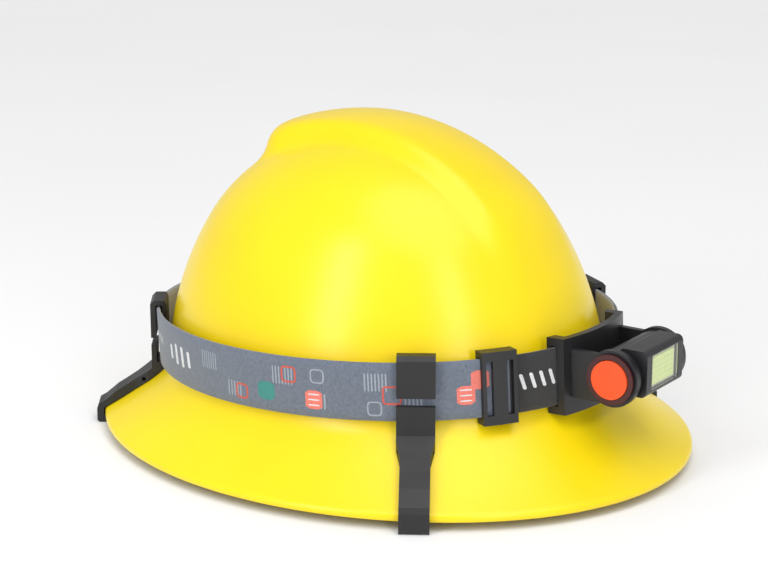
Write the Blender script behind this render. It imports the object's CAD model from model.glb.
"""Looks for the bump cap: a smooth moulded shell, woven straps, soft pads and moulded black plastic."""

import math

import bpy
import numpy as np
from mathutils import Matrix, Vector


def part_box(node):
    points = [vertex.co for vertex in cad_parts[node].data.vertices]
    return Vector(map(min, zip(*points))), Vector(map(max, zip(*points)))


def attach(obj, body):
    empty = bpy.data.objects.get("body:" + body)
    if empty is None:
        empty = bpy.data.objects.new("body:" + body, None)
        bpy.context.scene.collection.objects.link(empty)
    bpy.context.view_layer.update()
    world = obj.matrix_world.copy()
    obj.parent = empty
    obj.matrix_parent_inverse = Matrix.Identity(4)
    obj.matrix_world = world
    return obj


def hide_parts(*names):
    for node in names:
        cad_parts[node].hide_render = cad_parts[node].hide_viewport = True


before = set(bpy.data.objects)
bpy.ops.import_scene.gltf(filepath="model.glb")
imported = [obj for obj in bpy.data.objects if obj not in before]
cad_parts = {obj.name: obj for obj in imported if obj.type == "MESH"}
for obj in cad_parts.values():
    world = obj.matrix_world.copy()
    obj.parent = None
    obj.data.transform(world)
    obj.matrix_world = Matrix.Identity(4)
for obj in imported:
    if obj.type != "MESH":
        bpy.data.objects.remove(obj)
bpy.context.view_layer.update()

MM = 0.001
OVAL = 1.2  # the cap is drawn round and stretched along Y
DOME = dict(radius=98.5, top=157.0, crown_r=88.0, z0=26.0)
CREST = dict(radius=106.0, top=164.5, crown_r=96.0, z0=26.0)
CREST_SHIFT, CREST_FRONT, CREST_BACK, CREST_HALF, CREST_ROUND = 7.0, -68.0, 47.0, 23.0, 13.0
CREST_TAPER = math.tan(math.radians(8.0))
CREST_SIDE_BLEND, CREST_FOOT_BLEND, BRIM_BLEND = 7.0, 5.0, 5.0
WALL, BRIM_R, BRIM_SHIFT, BRIM_TOP, BRIM_T, BASE_Z, BRIM_BOW = 2.6, 132.0, -4.2, 7.6, 3.6, 34.0, 220.0
BRIM_NEAR, BRIM_FAR = 60.0, 150.0  # the slope's formula holds between these radii
SLOPE_SCALE = 0.78  # turns height above the brim's slope into a distance from it
RAY_Z, RAY_REACH, RAY_STEPS = 46.0, 175.0, 40
STRAP_R, STRAP_T, STRAP_W, STRAP_Z, STRAP_TILT = 101.4, 1.6, 28.0, 52.0, math.radians(2.6)
BLACK_STRETCH_DEG = 31  # the strap is black this far to each side of the lamp
SIDES = (("right", -1), ("left", 1))


# ---- mesh helpers --------------------------------------------------------------------
def new_object(name, verts, faces, material, smooth=True):
    """A mesh object from points in millimetres."""
    mesh = bpy.data.meshes.new(name)
    mesh.from_pydata([tuple(float(c) * MM for c in v) for v in verts], [], faces)
    mesh.update()
    for face in mesh.polygons:
        face.use_smooth = smooth
    obj = bpy.data.objects.new(name, mesh)
    bpy.context.scene.collection.objects.link(obj)
    obj.data.materials.append(material)
    return obj


def grid_faces(rows, columns, wrap_columns=True, wrap_rows=False):
    """Quads joining a grid of points numbered row by row."""
    faces = []
    for i in range(rows if wrap_rows else rows - 1):
        for j in range(columns if wrap_columns else columns - 1):
            a, b = i * columns + j, i * columns + (j + 1) % columns
            c, d = ((i + 1) % rows) * columns + (j + 1) % columns, ((i + 1) % rows) * columns + j
            faces.append((a, b, c, d))
    return faces


def end_caps(rings, count):
    """The two faces that close a tube of rings with count points each."""
    return [tuple(range(count))[::-1], tuple(range((rings - 1) * count, rings * count))]


def bevel(obj, width):
    """Softens an object's sharp edges by a width in millimetres."""
    mod = obj.modifiers.new("soft edges", "BEVEL")
    mod.width, mod.segments, mod.limit_method = width * MM, 2, "ANGLE"
    mod.angle_limit = math.radians(30)
    mod.harden_normals = True


# ---- materials -------------------------------------------------------------------------
class Material:
    """A small builder for node materials."""

    def __init__(self, name, color, roughness=0.5, **sockets):
        self.material = bpy.data.materials.new(name)
        self.material.use_nodes = True
        self.tree = self.material.node_tree
        self.shader = self.tree.nodes["Principled BSDF"]
        self.shader.inputs["Base Color"].default_value = (*color, 1)
        self.shader.inputs["Roughness"].default_value = roughness
        for key, value in sockets.items():
            self.shader.inputs[key.replace("_", " ")].default_value = value

    def node(self, kind, **settings):
        """A new node, with each setting put on the socket or property of that name."""
        node = self.tree.nodes.new(kind)
        for key, value in settings.items():
            if key in node.inputs:
                node.inputs[key].default_value = value
            else:
                setattr(node, key, value)
        return node

    def link(self, source, target):
        """Joins an output to an input."""
        self.tree.links.new(source, target)

    def coords(self, kind="Object", scale=(1, 1, 1)):
        """Texture coordinates in metres, stretched by a scale."""
        texture = self.node("ShaderNodeTexCoord")
        mapping = self.node("ShaderNodeMapping")
        mapping.inputs["Scale"].default_value = scale
        self.link(texture.outputs[kind], mapping.inputs["Vector"])
        return mapping.outputs["Vector"]

    def noise(self, scale, detail=3.0, vector=None):
        """Noise with so many features to the metre."""
        noise = self.node("ShaderNodeTexNoise", Scale=scale, Detail=detail, Roughness=0.55)
        self.link(vector or self.coords(), noise.inputs["Vector"])
        return noise.outputs["Fac"]

    def ramp(self, fac, stops):
        """A colour ramp: stops are (place, colour or grey value)."""
        ramp = self.node("ShaderNodeValToRGB")
        elements = ramp.color_ramp.elements
        while len(elements) < len(stops):
            elements.new(0.5)
        for element, (place, value) in zip(elements, stops):
            element.position = place
            element.color = (value, value, value, 1) if isinstance(value, (int, float)) else (*value, 1)
        self.link(fac, ramp.inputs["Fac"])
        return ramp.outputs["Color"]

    def math(self, operation, a, b=0.0):
        """The result of a sum on two outputs or numbers."""
        node = self.node("ShaderNodeMath", operation=operation)
        for socket, value in zip(node.inputs, (a, b)):
            if isinstance(value, (int, float)):
                socket.default_value = value
            else:
                self.link(value, socket)
        return node.outputs["Value"]

    def bump(self, height, strength, distance):
        """Relief from a height, up to a distance in millimetres."""
        bump = self.node("ShaderNodeBump", Strength=strength, Distance=distance * MM)
        self.link(height, bump.inputs["Height"])
        self.link(bump.outputs["Normal"], self.shader.inputs["Normal"])

    def color(self, output):
        """Puts an output on the base colour."""
        self.link(output, self.shader.inputs["Base Color"])

    def rough(self, output):
        """Puts an output on the roughness."""
        self.link(output, self.shader.inputs["Roughness"])


def moulded(name, color, roughness, grain=1500.0, strength=0.25):
    """Moulded plastic: a fine spark grain, faint colour drift and uneven gloss."""
    variation = 0.12
    m = Material(name, color, roughness)
    drift = m.noise(22.0, 4.0)
    dark = tuple(c * (1 - variation) for c in color)
    light = tuple(min(1.0, c * (1 + variation)) for c in color)
    m.color(m.ramp(drift, [(0.3, dark), (0.7, light)]))
    polish = [(0.25, roughness * (1 - variation)), (0.75, min(1.0, roughness * (1 + variation)))]
    m.rough(m.ramp(m.noise(60.0, 3.0), polish))
    m.bump(m.noise(grain, 2.0), strength, 0.05)
    return m.material


def shell_material():
    """Glossy yellow polyethylene: faint colour drift, flow marks and a trace of fine scuffs."""
    m = Material("shell_yellow", (0.93, 0.70, 0.004), 0.32, Coat_Weight=0.12, Coat_Roughness=0.25,
                 Specular_IOR_Level=0.38, Subsurface_Weight=0.06, Subsurface_Radius=(0.006, 0.004, 0.001))
    m.color(m.ramp(m.noise(9.0, 3.0), [(0.3, (0.90, 0.66, 0.003)), (0.7, (0.96, 0.74, 0.006))]))
    scuffs = m.noise(1.0, 5.0, m.coords(scale=(60, 60, 900)))
    m.rough(m.ramp(scuffs, [(0.35, 0.29), (0.8, 0.36)]))
    flow_marks, fine_grain = m.noise(35.0, 2.0), m.math("MULTIPLY", m.noise(900.0, 2.0), 0.12)
    m.bump(m.math("ADD", flow_marks, fine_grain), 0.10, 0.35)
    return m.material


def woven(name, color, accent, across=1250.0, along=900.0):
    """Webbing in UV metres: ribs along the length crossed by picks, so many to the metre, in two tones."""
    m = Material(name, color, 0.85, Sheen_Weight=0.35, Sheen_Roughness=0.5)
    uv = m.coords("UV")
    split = m.node("ShaderNodeSeparateXYZ")
    m.link(uv, split.inputs["Vector"])
    warp = m.math("SINE", m.math("MULTIPLY", split.outputs["Y"], across * math.tau))
    weft = m.math("SINE", m.math("MULTIPLY", split.outputs["X"], along * math.tau))
    weave = m.math("MULTIPLY", warp, weft)
    height = m.math("ADD", m.math("MULTIPLY", weave, 0.35), m.math("MULTIPLY", m.math("ABSOLUTE", warp), 0.5))
    mixed = m.math("ADD", m.math("MULTIPLY", weave, 0.30), m.noise(900.0, 2.0))
    m.color(m.ramp(mixed, [(0.25, color), (0.75, accent)]))
    m.bump(height, 0.8, 0.12)
    return m.material


def cloth(name, color, accent):
    """Knitted cover of a pad."""
    m = Material(name, color, 0.95, Sheen_Weight=0.4)
    cells = m.node("ShaderNodeTexVoronoi", Scale=1400.0)
    m.link(m.coords(), cells.inputs["Vector"])
    m.color(m.ramp(m.noise(120.0, 4.0), [(0.3, color), (0.7, accent)]))
    m.bump(cells.outputs["Distance"], 0.5, 0.25)
    return m.material


def ink(name, color, roughness=0.7):
    """Screen print on webbing: slightly broken by the weave under it."""
    m = Material(name, color, roughness)
    broken = m.noise(1800.0, 2.0)
    m.color(m.ramp(broken, [(0.3, tuple(c * 0.72 for c in color)), (0.6, color)]))
    m.bump(broken, 0.4, 0.08)
    return m.material


def steel():
    """Plated steel with fine wear."""
    m = Material("screw_steel", (0.55, 0.55, 0.57), 0.32, Metallic=1.0)
    m.rough(m.ramp(m.noise(400.0, 3.0), [(0.3, 0.26), (0.7, 0.42)]))
    m.bump(m.noise(2500.0, 2.0), 0.15, 0.02)
    return m.material


def emitter_material():
    """A light panel: phosphor gel over rows of small chips."""
    m = Material("emitter_phosphor", (0.80, 0.88, 0.30), 0.4,
                 Emission_Color=(0.85, 0.95, 0.45, 1), Emission_Strength=0.25)
    chips = m.node("ShaderNodeTexVoronoi", Scale=420.0, Randomness=0.0)
    m.link(m.coords(), chips.inputs["Vector"])
    m.color(m.ramp(chips.outputs["Distance"], [(0.25, (0.93, 0.97, 0.55)), (0.6, (0.66, 0.80, 0.22))]))
    m.bump(chips.outputs["Distance"], 0.4, 0.2)
    return m.material


def lens_material():
    """A clear, slightly uneven moulded lens."""
    m = Material("lens_clear", (0.97, 0.99, 0.92), 0.06, IOR=1.49, Transmission_Weight=1.0)
    m.bump(m.noise(500.0, 2.0), 0.05, 0.05)
    return m.material


def cell_material():
    """A blue shrink sleeve on a battery, with faint colour drift."""
    m = Material("cell_sleeve", (0.10, 0.22, 0.36), 0.35)
    m.color(m.ramp(m.noise(90.0), [(0.3, (0.08, 0.19, 0.33)), (0.7, (0.12, 0.26, 0.41))]))
    m.bump(m.noise(900.0), 0.2, 0.05)
    return m.material


def floor_material():
    """A pale studio floor with a barely visible drift."""
    m = Material("floor_pale", (0.93, 0.93, 0.94), 0.6)
    m.color(m.ramp(m.noise(3.0, 3.0), [(0.3, (0.92, 0.92, 0.93)), (0.7, (0.94, 0.94, 0.95))]))
    return m.material


yellow = shell_material()
black_clip = moulded("clip_black", (0.010, 0.010, 0.011), 0.46)
black_lamp = moulded("lamp_black", (0.013, 0.013, 0.015), 0.38)
black_matte = moulded("suspension_black", (0.018, 0.018, 0.020), 0.55)
knob_black = moulded("knob_black", (0.010, 0.010, 0.012), 0.6, grain=900.0, strength=0.5)
orange = moulded("button_orange", (0.86, 0.085, 0.012), 0.45, grain=700.0, strength=0.8)
dark_red = moulded("bezel_dark_red", (0.055, 0.006, 0.008), 0.35)
board_white = moulded("board_white", (0.62, 0.63, 0.58), 0.5)
strap_grey = woven("strap_grey", (0.095, 0.115, 0.155), (0.170, 0.200, 0.260))
strap_inner = woven("strap_inner_lavender", (0.30, 0.30, 0.40), (0.42, 0.42, 0.52))
strap_black = woven("strap_black", (0.010, 0.011, 0.013), (0.026, 0.028, 0.033))
crown_web = woven("crown_webbing", (0.62, 0.61, 0.57), (0.78, 0.77, 0.73), across=600.0, along=420.0)
pad_cloth = cloth("pad_cloth", (0.030, 0.030, 0.034), (0.055, 0.055, 0.060))
white_ink, red_ink = ink("ink_white", (0.74, 0.76, 0.80)), ink("ink_red", (0.62, 0.10, 0.07))
teal_ink, pink_ink = ink("ink_teal", (0.05, 0.26, 0.24)), ink("ink_pink", (0.80, 0.20, 0.16))
pale_ink, thread_grey = ink("ink_pale", (0.34, 0.38, 0.45)), ink("thread_grey", (0.20, 0.21, 0.24), 0.8)


# ---- shell -------------------------------------------------------------------------------
def two_arcs(radius, top, crown_r, z0):
    """The wall arc's radius and centre, and the centre height of the crown arc it runs smoothly into."""
    rise = top - z0
    wall_r = (radius**2 + (rise - crown_r) ** 2 - crown_r**2) / (2 * (radius - crown_r))
    return wall_r, radius - wall_r, top - crown_r


def dome_distance(r, z, radius, top, crown_r, z0, inset=0.0):
    """Distance outside a two-arc dome, at radius r and height z."""
    wall_r, wall_x, crown_z = two_arcs(radius, top, crown_r, z0)
    to_crown = np.hypot(r, z - crown_z) - crown_r
    to_wall = np.hypot(r - wall_x, z - z0) - wall_r
    in_crown = (z - crown_z) * -wall_x > r * (crown_z - z0)
    upper = np.where(in_crown, to_crown, to_wall)
    return np.where(z > z0, upper, r - radius) + inset


def brim_height(r):
    """Height of the brim's hollow slope at a radius from its own axis."""
    half = Vector((BRIM_R - DOME["radius"], BRIM_TOP - BASE_Z)) / 2
    along = half.normalized()
    lift = math.sqrt(BRIM_BOW**2 - half.length_squared)
    centre_r = DOME["radius"] + half.x - along.y * lift
    centre_z = BASE_Z + half.y + along.x * lift
    return centre_z - np.sqrt(BRIM_BOW**2 - (r - centre_r) ** 2)


def soft_min(a, b, k):
    """The lower of two distances, blended over k."""
    h = np.clip(0.5 + 0.5 * (b - a) / k, 0, 1)
    return b + (a - b) * h - k * h * (1 - h)


def crest_distance(x, y, z, inset):
    """Distance outside the raised band over the crown."""
    cap = dome_distance(np.hypot(x, y - CREST_SHIFT), z, inset=inset, **CREST)
    grow = (CREST["top"] + 6 - z) * CREST_TAPER - inset
    middle, half_y = (CREST_FRONT + CREST_BACK) / 2, (CREST_BACK - CREST_FRONT) / 2
    dx = np.abs(x) - (CREST_HALF + grow - CREST_ROUND)
    dy = np.abs(y - middle) - (half_y + grow - CREST_ROUND)
    corner, flank = np.hypot(np.maximum(dx, 0), np.maximum(dy, 0)), np.minimum(np.maximum(dx, dy), 0)
    return -soft_min(-cap, -(corner + flank - CREST_ROUND), CREST_SIDE_BLEND)


def shell_distance(x, y, z, inset, with_brim):
    """Distance outside the round shell, or outside its hollow."""
    skin = dome_distance(np.hypot(x, y), z, inset=inset, **DOME)
    skin = soft_min(skin, crest_distance(x, y, z, inset), CREST_FOOT_BLEND)
    if with_brim:
        brim_r = np.clip(np.hypot(x, y - BRIM_SHIFT), BRIM_NEAR, BRIM_FAR)
        skin = soft_min(skin, (z - brim_height(brim_r)) * SLOPE_SCALE, BRIM_BLEND)
    return skin


def cast(elevation, angle, inset, with_brim):
    """Points where rays from the axis leave the shell, in round space, found by halving the interval."""
    dx, dy = np.cos(elevation) * np.sin(angle), -np.cos(elevation) * np.cos(angle)
    dz = np.sin(elevation)
    low, high = np.zeros_like(angle), np.full_like(angle, RAY_REACH)
    for _ in range(RAY_STEPS):
        mid = (low + high) / 2
        inside = shell_distance(dx * mid, dy * mid, RAY_Z + dz * mid, inset, with_brim) < 0
        low, high = np.where(inside, mid, low), np.where(inside, high, mid)
    return np.stack([dx * low, dy * low, RAY_Z + dz * low], axis=-1)


def rim_radius(angle, inward=0.0):
    """Distance from the dome's axis to the brim's rim."""
    toward = -BRIM_SHIFT * np.cos(angle)
    return toward + np.sqrt((BRIM_R - inward) ** 2 - (BRIM_SHIFT * np.sin(angle)) ** 2)


def brim_ring(angle, inward, z_from_slope):
    """A ring of points on the brim, inward from its rim, at a height above its slope."""
    radius = rim_radius(angle, inward)
    z = brim_height(BRIM_R - inward) + z_from_slope
    return np.stack([radius * np.sin(angle), -radius * np.cos(angle), np.full_like(angle, z)], axis=-1)


def build_shell():
    """The moulded shell: outside, rounded rim, underside of the brim and the hollow, as one closed skin."""
    columns, outer_rings, under_rings, inner_rings = 288, 150, 14, 90
    pole_gap, last_inward, first_dip = 0.012, 2.0, math.radians(-12)
    angle = np.linspace(0, math.tau, columns, endpoint=False)
    last = np.arctan2(brim_height(BRIM_R - last_inward) - RAY_Z, rim_radius(angle, last_inward))
    rings = []
    for step in np.linspace(pole_gap, 1.0, outer_rings):
        elevation = math.pi / 2 + (last - math.pi / 2) * step ** 0.93
        rings.append(cast(elevation, angle, 0.0, True))
    edge = [(1.0, 0.0), (0.35, -0.25), (0.05, -0.8), (0.0, -1.5), (0.0, -2.6), (0.3, -3.2), (1.0, -BRIM_T)]
    rings += [brim_ring(angle, inward, drop) for inward, drop in edge]
    rings += [brim_ring(angle, inward, -BRIM_T) for inward in np.linspace(3.0, 29.0, under_rings)]
    for step in np.linspace(1.0, pole_gap, inner_rings):
        elevation = first_dip + (math.pi / 2 - first_dip) * (1 - step)
        rings.append(cast(np.full_like(angle, elevation), angle, WALL, False))
    points = np.concatenate(rings)
    points[:, 1] *= OVAL
    faces = grid_faces(len(rings), columns) + end_caps(len(rings), columns)
    shell = new_object("shell_skin", points, faces, yellow)
    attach(shell, "cap")
    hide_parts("shell")


build_shell()


# ---- key sockets moulded inside the shell ----------------------------------------------
def build_socket(name, turn):
    """A moulded pocket for a suspension key: three walls, open at the top and bottom, rooted in the shell."""
    half, depth, wall, cheek, low, high = 13.5, 7.5, 1.8, 3.1, 37.0, 57.0
    low_root, high_root = -0.6, 2.0  # the walls' roots, inwards from the hollow's widest radius
    reach = DOME["radius"] - WALL
    inside, floor = half - cheek, depth - wall
    outer = [(-half, 0), (-half, depth), (half, depth), (half, 0)]
    inner = [(-inside, 0), (-inside, floor), (inside, floor), (inside, 0)]
    out_dir = Vector((math.cos(turn), math.sin(turn)))
    side = Vector((math.sin(turn), -math.cos(turn)))
    verts = []
    for z, root in ((low, low_root), (high, high_root)):
        for w, d in outer + inner:
            p = out_dir * (reach - (d if d else root)) + side * w
            verts.append((p.x, p.y * OVAL, z))
    n = len(outer + inner)
    faces = [(0, 1, 5, 4), (1, 2, 6, 5), (2, 3, 7, 6)]
    faces += [tuple(n + i for i in reversed(f)) for f in faces]
    faces += [(i, n + i, n + i + 1, i + 1) for i in (0, 1, 2)]
    faces += [(i + 1, n + i + 1, n + i, i) for i in (4, 5, 6)]
    faces += [(3, n + 3, n + 7, 7), (4, n + 4, n + 0, 0)]
    socket = new_object(name, verts, faces, yellow, smooth=False)
    bevel(socket, 0.6)
    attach(socket, "cap")


for index, turn in enumerate((45, 135, 225, 315)):
    build_socket(f"key_socket_{index + 1}", math.radians(turn))


# ---- lamp strap: woven band with its print ----------------------------------------------
def strap_point(angle, v, lift):
    """A point on the strap: plan angle from the front, height v from its middle, lift off its outer face."""
    radius = STRAP_R + STRAP_T + lift
    x, y = radius * math.sin(angle), -radius * math.cos(angle)
    cos, sin = math.cos(STRAP_TILT), math.sin(STRAP_TILT)
    return (x, (y * cos + v * sin) * OVAL, v * cos - y * sin + STRAP_Z)


def strap_section(steps=8):
    """The strap's outline as pairs of height and lift: outer face, top edge, inner face, bottom edge."""
    half, t = STRAP_W / 2, STRAP_T
    flat = half - 0.5  # where the rolled edges begin
    outer = [(-flat + 2 * flat * i / steps, 0.0) for i in range(steps + 1)]
    inner = [(flat - 2 * flat * i / steps, -t) for i in range(steps + 1)]
    top = [(half - 0.1, -0.3), (half, -t / 2), (half - 0.1, -t + 0.3)]
    return outer + top + inner + [(-v, lift) for v, lift in reversed(top)]


def build_strap(columns=360):
    """The strap's closed band, with rolled edges, a black stretch by the lamp and a plain inner face."""
    rows = strap_section()
    count, inner_rows = len(rows), range(11, 20)
    verts = [strap_point(math.tau * i / columns, v, lift) for i in range(columns) for v, lift in rows]
    faces = grid_faces(columns, count, wrap_columns=True, wrap_rows=True)
    strap = new_object("lamp_strap_band", verts, faces, strap_grey)
    strap.data.materials.append(strap_inner)
    strap.data.materials.append(strap_black)
    uv = strap.data.uv_layers.new(name="weave")
    length = 2 * math.pi * (STRAP_R + STRAP_T) * (1 + OVAL) / 2 * MM
    for face in strap.data.polygons:
        column, row = divmod(face.index, count)
        degrees = (360 * column / columns + 180) % 360 - 180
        by_lamp = -BLACK_STRETCH_DEG < degrees < BLACK_STRETCH_DEG
        face.material_index = 1 if row in inner_rows else 2 if by_lamp else 0
        for loop in face.loop_indices:
            index = strap.data.loops[loop].vertex_index
            c, r = divmod(index, count)
            if column == columns - 1 and c == 0:
                c = columns  # the last column closes on the first at full length
            uv.data[loop].uv = (c / columns * length, rows[r][0] * MM)
    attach(strap, "cap")
    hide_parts("lamp_strap")


def rounded_outline(width, height, radius, steps=5):
    """Points round a rounded rectangle."""
    points = []
    for cx, cy, start in ((1, 1, 0), (-1, 1, 90), (-1, -1, 180), (1, -1, 270)):
        for i in range(steps + 1):
            a = math.radians(start + 90 * i / steps)
            x = cx * (width / 2 - radius) + radius * math.cos(a)
            y = cy * (height / 2 - radius) + radius * math.sin(a)
            points.append((x, y))
    return points


class Print:
    """One colour of the strap's print, gathered into one thin piece on its surface."""

    def __init__(self, name, material, lift=0.05):
        self.name, self.material, self.lift, self.verts, self.faces = name, material, lift, [], []

    def place(self, centre_deg, v, x, y):
        """Adds the point x, y from a shape's centre at a plan angle in degrees and height v."""
        angle = math.radians(centre_deg)
        per_radian = STRAP_R * math.hypot(math.cos(angle), OVAL * math.sin(angle))
        self.verts.append(strap_point(angle + x / per_radian, v + y, self.lift))

    def filled(self, centre_deg, v, width, height, radius=0.6, slant=0.0):
        """Adds a filled patch with cut corners, leaning by slant."""
        start = len(self.verts)
        columns = max(2, int(width / 2))
        for i in range(columns + 1):
            x = width * (i / columns - 0.5)
            cut = radius if i in (0, columns) else 0.0
            for y in (-height / 2 + cut, 0.0, height / 2 - cut):
                self.place(centre_deg, v, x + slant * y, y)
        for i in range(columns):
            for j in range(2):
                a = start + i * 3 + j
                self.faces.append((a, a + 3, a + 4, a + 1))

    def outlined(self, centre_deg, v, size, line=0.9):
        """Adds the outline of a rounded square."""
        start, radius = len(self.verts), 2.0
        outer = rounded_outline(size, size, radius)
        inner = rounded_outline(size - 2 * line, size - 2 * line, radius - line)
        for (x0, y0), (x1, y1) in zip(outer, inner):
            self.place(centre_deg, v, x0, y0)
            self.place(centre_deg, v, x1, y1)
        n = len(outer)
        for i in range(n):
            j = (i + 1) % n
            self.faces.append((start + 2 * i, start + 2 * j, start + 2 * j + 1, start + 2 * i + 1))

    def finish(self):
        """Makes the piece, on the strap."""
        piece = new_object(self.name, self.verts, self.faces, self.material, smooth=False)
        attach(piece, "cap")


def build_prints():
    """A generic sporty print: bars, hatched patches and rounded squares, repeated on both sides."""
    white, red = Print("print_white", white_ink), Print("print_red", red_ink)
    teal, pink = Print("print_teal", teal_ink), Print("print_pink", pink_ink)
    pale = Print("print_pale", pale_ink, 0.03)
    for word, side in SIDES:
        for i, height in enumerate((7.5, 10.5, 10.5, 8.5)):
            white.filled(side * (124 - 3.2 * i), 0.5, 2.6, height, slant=-0.12)
        for i in range(5):
            white.filled(side * (140 - 1.9 * i), 2.0, 1.3, 4.6 + (i % 2), slant=-0.12)
        for base in (108, 86, 64):
            for i in range(7):
                pale.filled(side * (base - 0.8 * i), 4.6, 0.7, 9.0)
            for i in range(5):
                pale.filled(side * (base - 9 - 0.9 * i), -6.0, 0.8, 8.0)
        for place, v, size in ((95, -6.5, 7.5), (82, 5.5, 8.0), (58, -1.5, 9.0)):
            red.outlined(side * place, v, size)
        for place, v in ((75, 6.0), (62, -8.0)):
            pale.outlined(side * place, v, 7.0, line=0.7)
        teal.filled(side * 88, -4.0, 9.5, 9.0, radius=1.5)
        for place, v in ((76, -5.5), (41, -2.5), (37.5, 4.5)):
            pink.filled(side * place, v, 8.5, 9.0, radius=1.2)
        lines = Print("print_lines_" + word, white_ink, 0.09)
        for place, v in ((76, -5.5), (41, -2.5)):
            for i in range(3):
                lines.filled(side * place, v - 2.6 + 2.6 * i, 5.5, 0.7, radius=0.1)
        for i in range(5):
            lines.filled(side * (26.5 - 2.9 * i), 0.8, 1.9, 8.0, slant=-0.3)
        lines.finish()
    build_stitching()
    for layer in (white, red, teal, pink, pale):
        layer.finish()


def build_stitching():
    """Two rows of stitches on each side, where the black stretch is sewn to the grey strap."""
    for word, side in SIDES:
        thread = Print("strap_stitching_" + word, thread_grey, 0.12)
        for i in range(10):
            for place in (30.2, 31.8):
                thread.filled(side * place, -11.7 + 2.6 * i, 0.5, 1.7, radius=0.2)
        thread.finish()


build_strap()
build_prints()


# ---- suspension: webbing, sweatband and nape pad ----------------------------------------
BAND_CENTRE_Y = 20.0  # middle of the headband's front half oval


def band_plan(inset, steps):
    """Plan of the headband's inside from the right temple round the brow to the left, in millimetres."""
    half_w, front = 78.0 - inset, 118.0 - inset
    points = []
    for i in range(steps * 2 + 1):
        a = math.radians(-90 + 90 * (i - steps) / steps)
        points.append((half_w * math.cos(a), BAND_CENTRE_Y + front * math.sin(a)))
    return [p for p in points if p[1] < 0]


def squared(value):
    """Pushes a sine or cosine outwards, so that a circle of them turns into a rounded square."""
    return math.copysign(abs(value) ** 0.6, value)


def build_sweatband():
    """A folded, quilted sweatband: a rounded pad section swept round the brow, with stitched channels."""
    outer = band_plan(2.2, 60)
    low, high, thick, around = 8.2, 33.8, 3.9, 24
    channel_every, channel_deep = 9, 0.16
    turns = [math.tau * i / around for i in range(around)]
    ring = [(squared(math.cos(a)), squared(math.sin(a))) for a in turns]
    verts = []
    n = len(outer)
    for i, (x, y) in enumerate(outer):
        before, after = outer[max(0, i - 1)], outer[min(n - 1, i + 1)]
        tangent = Vector((after[0] - before[0], after[1] - before[1])).normalized()
        inward = Vector((-tangent.y, tangent.x))
        if inward.dot(Vector((-x, BAND_CENTRE_Y - y))) < 0:
            inward = -inward
        end = min(1.0, min(i, n - 1 - i) / 3.0 + 0.25)
        quilt = 1.0 - channel_deep * math.exp(-((i % channel_every - 4) / 0.9) ** 2)
        for cx, cz in ring:
            depth = thick / 2 * (1 + cx * end * (quilt if cx > 0 else 1.0))
            z = (low + high) / 2 + (high - low) / 2 * cz * (0.9 + 0.1 * end)
            verts.append((x + inward.x * depth, y + inward.y * depth, z))
    faces = grid_faces(n, around) + end_caps(n, around)
    pad = new_object("sweatband_pad", verts, faces, pad_cloth)
    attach(pad, "cap")
    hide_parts("sweatband")


def build_nape_pad():
    """A small crowned cushion in front of the ratchet."""
    low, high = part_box("nape_pad")
    cx, cz = (low[0] + high[0]) / 2 / MM, (low[2] + high[2]) / 2 / MM
    half_x, half_z = (high[0] - low[0]) / 2 / MM, (high[2] - low[2]) / 2 / MM
    back, deep = high[1] / MM, (high[1] - low[1]) / MM
    columns, rows = 40, 28
    verts = []
    for side in (0, 1):
        for i in range(rows):
            for j in range(columns):
                u, v = 2 * j / (columns - 1) - 1, 2 * i / (rows - 1) - 1
                rx = u * math.sqrt(1 - 0.12 * v * v)
                rz = v * math.sqrt(1 - 0.10 * u * u)
                crown = (max(0, 1 - abs(u) ** 6) * max(0, 1 - abs(v) ** 6)) ** 0.5
                y = back - 0.2 - deep * 0.30 * (1 - crown) if side else back - deep * (0.30 + 0.68 * crown)
                verts.append((cx + half_x * rx, y, cz + half_z * rz))
    faces = grid_faces(rows, columns, wrap_columns=False)
    count = rows * columns
    faces += [tuple(count + i for i in reversed(f)) for f in faces]
    border = list(range(columns)) + [i * columns + columns - 1 for i in range(1, rows)]
    border += [(rows - 1) * columns + j for j in range(columns - 2, -1, -1)]
    border += [i * columns for i in range(rows - 2, 0, -1)]
    for a, b in zip(border, border[1:] + border[:1]):
        faces.append((b, a, count + a, count + b))
    pad = new_object("nape_cushion", verts, faces, pad_cloth)
    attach(pad, "cap")
    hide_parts("nape_pad")


def crown_path(lift):
    """A crown strap's path as pairs of radius and height, from one key over the top to the other."""
    radius, top, crown_r, z0, foot = 88.0, 124.0 + lift, 100.0, 50.0, 37.4
    wall_r, wall_x, crown_z = two_arcs(radius, top, crown_r, z0)
    join = math.atan2(z0 - crown_z, wall_x)
    arc = [(radius, z) for z in np.linspace(foot, z0 - 2.0, 6)]
    arc += [(wall_x + wall_r * math.cos(a), z0 + wall_r * math.sin(a)) for a in np.linspace(0, join, 16)]
    crown = np.linspace(join, math.pi / 2, 22)[1:]
    arc += [(crown_r * math.cos(a), crown_z + crown_r * math.sin(a)) for a in crown]
    return arc + [(-r, z) for r, z in reversed(arc[:-1])]


def web_section():
    """The webbing's outline as pairs of width and height, with softened edges."""
    half, thick, soft, side = 9.4, 1.4, 0.4, 0.35
    across = [(half - soft) * (1 - i / 4) for i in range(1, 8)]
    section = [(half, side), (half, thick - side), (half - soft, thick)] + [(w, thick) for w in across]
    section += [(-half + soft, thick), (-half, thick - side), (-half, side), (-half + soft, 0.0)]
    return section + [(-w, 0.0) for w in across] + [(half - soft, 0.0)]


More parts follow.
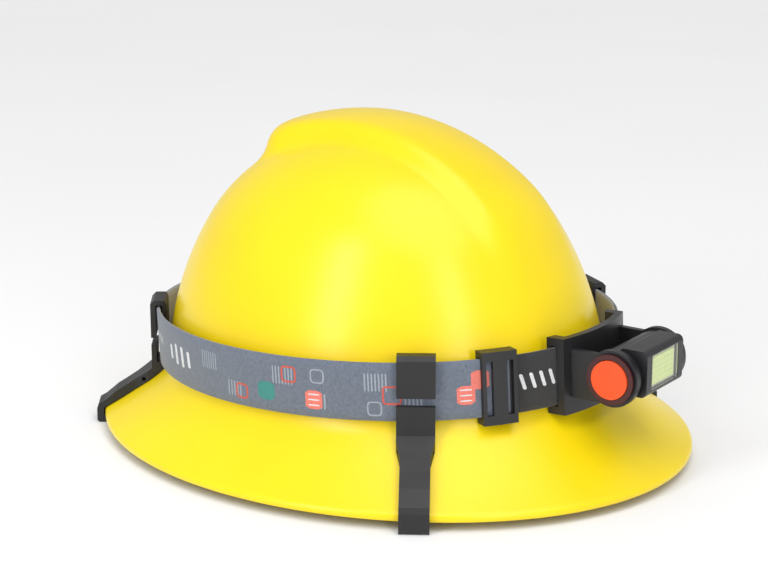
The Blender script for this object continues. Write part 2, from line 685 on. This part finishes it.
def build_crown_strap(name, turn, lift):
    """A crown strap of webbing with softened edges, standing on its two keys."""
    arc, section = crown_path(lift), web_section()
    along, across = Vector((math.cos(turn), math.sin(turn))), Vector((-math.sin(turn), math.cos(turn)))
    verts, n = [], len(section)
    for i, (r, z) in enumerate(arc):
        before, after = arc[max(0, i - 1)], arc[min(len(arc) - 1, i + 1)]
        t = Vector((after[0] - before[0], after[1] - before[1])).normalized()
        for w, d in section:
            p = along * (r - t.y * d) + across * w
            verts.append((p.x, p.y * OVAL, z + t.x * d))
    faces = grid_faces(len(arc), n) + end_caps(len(arc), n)
    web = new_object(name, verts, faces, crown_web)
    uv = web.data.uv_layers.new(name="weave")
    lengths = np.concatenate([[0], np.cumsum([math.dist(a, b) for a, b in zip(arc, arc[1:])])]) * MM
    for loop in web.data.loops:
        i, j = divmod(loop.vertex_index, n)
        uv.data[loop.index].uv = (lengths[i], section[j][0] * MM)
    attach(web, "cap")
    return web


build_sweatband()
build_nape_pad()
for name, turn, lift in (("crown_strap_a", 45, 0.0), ("crown_strap_b", -45, 1.7)):
    web = build_crown_strap(name.replace("strap", "webbing"), math.radians(turn), lift)
    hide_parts(name)


# ---- CAD nodes that stay: materials and softened edges ----------------------------------
def dress(node, material, width=0.0):
    """Gives a CAD node its material and softens its edges."""
    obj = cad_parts[node]
    obj.data.materials.clear()
    obj.data.materials.append(material)
    if width:
        bevel(obj, width)


CLIPS = ("clip_front_left", "clip_front_right", "clip_back_left", "clip_back_right")
KEYS = ("key_front_left", "key_front_right", "key_back_left", "key_back_right")
screw_steel, lens_clear = steel(), lens_material()
for node in CLIPS:
    dress(node, black_clip, 0.5)
for node in KEYS + ("headband", "nape_rack_left", "nape_rack_right", "ratchet_housing", "ratchet_cover"):
    dress(node, black_matte, 0.3)
for node in ("click_ring", "pinion"):
    dress(node, black_matte)
dress("ratchet_knob", knob_black, 0.3)
for node in ("cover_screws", "knob_screw"):
    dress(node, screw_steel)
for node in ("strap_slider", "lamp_bracket", "lamp_housing", "end_cap"):
    dress(node, black_lamp, 0.5)
dress("button_bezel", dark_red, 0.3)
dress("power_button", orange, 0.5)
for node in ("cob_board", "switch_board", "dome_switch"):
    dress(node, board_white)
dress("cob_emitter", emitter_material())
dress("cob_lens", lens_clear)
dress("battery_cell", cell_material())


# ---- stage: floor, lights, camera ---------------------------------------------------------
def build_floor(half=6000):
    """A wide plain floor under the cap."""
    corners = [(-half, -half, 0), (half, -half, 0), (half, half, 0), (-half, half, 0)]
    floor = new_object("floor", corners, [(0, 1, 2, 3)], floor_material(), smooth=False)


def add_light(name, place, size, power, target=(0, 0, 0.07)):
    """A soft light of a given width and height aimed at the cap."""
    data = bpy.data.lights.new(name, "AREA")
    data.shape, data.energy = "RECTANGLE", power
    data.size, data.size_y = size
    lamp = bpy.data.objects.new(name, data)
    lamp.location = place
    lamp.rotation_euler = (Vector(target) - Vector(place)).to_track_quat("-Z", "Y").to_euler()
    bpy.context.scene.collection.objects.link(lamp)


def add_camera(azimuth=-55.0, elevation=15.5, distance=1.0, lens=92.0, target=(0, 0, 0.074)):
    """The camera at the viewing angle, aimed at the cap's middle."""
    a, e = math.radians(azimuth), math.radians(elevation)
    toward = Vector((-math.sin(a) * math.cos(e), math.cos(a) * math.cos(e), -math.sin(e)))
    camera = bpy.data.objects.new("camera", bpy.data.cameras.new("camera"))
    camera.location = Vector(target) - toward * distance
    camera.rotation_euler = toward.to_track_quat("-Z", "Y").to_euler()
    camera.data.lens = lens
    bpy.context.scene.collection.objects.link(camera)
    bpy.context.scene.camera = camera


def light_scene():
    """A white room, two tall soft strips on the camera's side and a broad light overhead."""
    world = bpy.data.worlds.new("studio")
    world.use_nodes = True
    background = world.node_tree.nodes["Background"]
    background.inputs["Color"].default_value = (1, 1, 1, 1)
    background.inputs["Strength"].default_value = 0.54
    bpy.context.scene.world = world
    add_light("left_strip", (-1.25, 0.15, 0.75), (0.30, 1.1), 7.0)
    add_light("right_strip", (-0.75, -1.15, 0.70), (0.30, 1.1), 5.0)
    sun = bpy.data.lights.new("overhead", "SUN")
    sun.energy, sun.angle = 1.2, math.radians(50)
    overhead = bpy.data.objects.new("overhead", sun)
    overhead.rotation_euler = (math.radians(14), math.radians(-10), 0)
    bpy.context.scene.collection.objects.link(overhead)
    bpy.context.scene.view_settings.view_transform = "Standard"


build_floor()
add_camera()
light_scene()
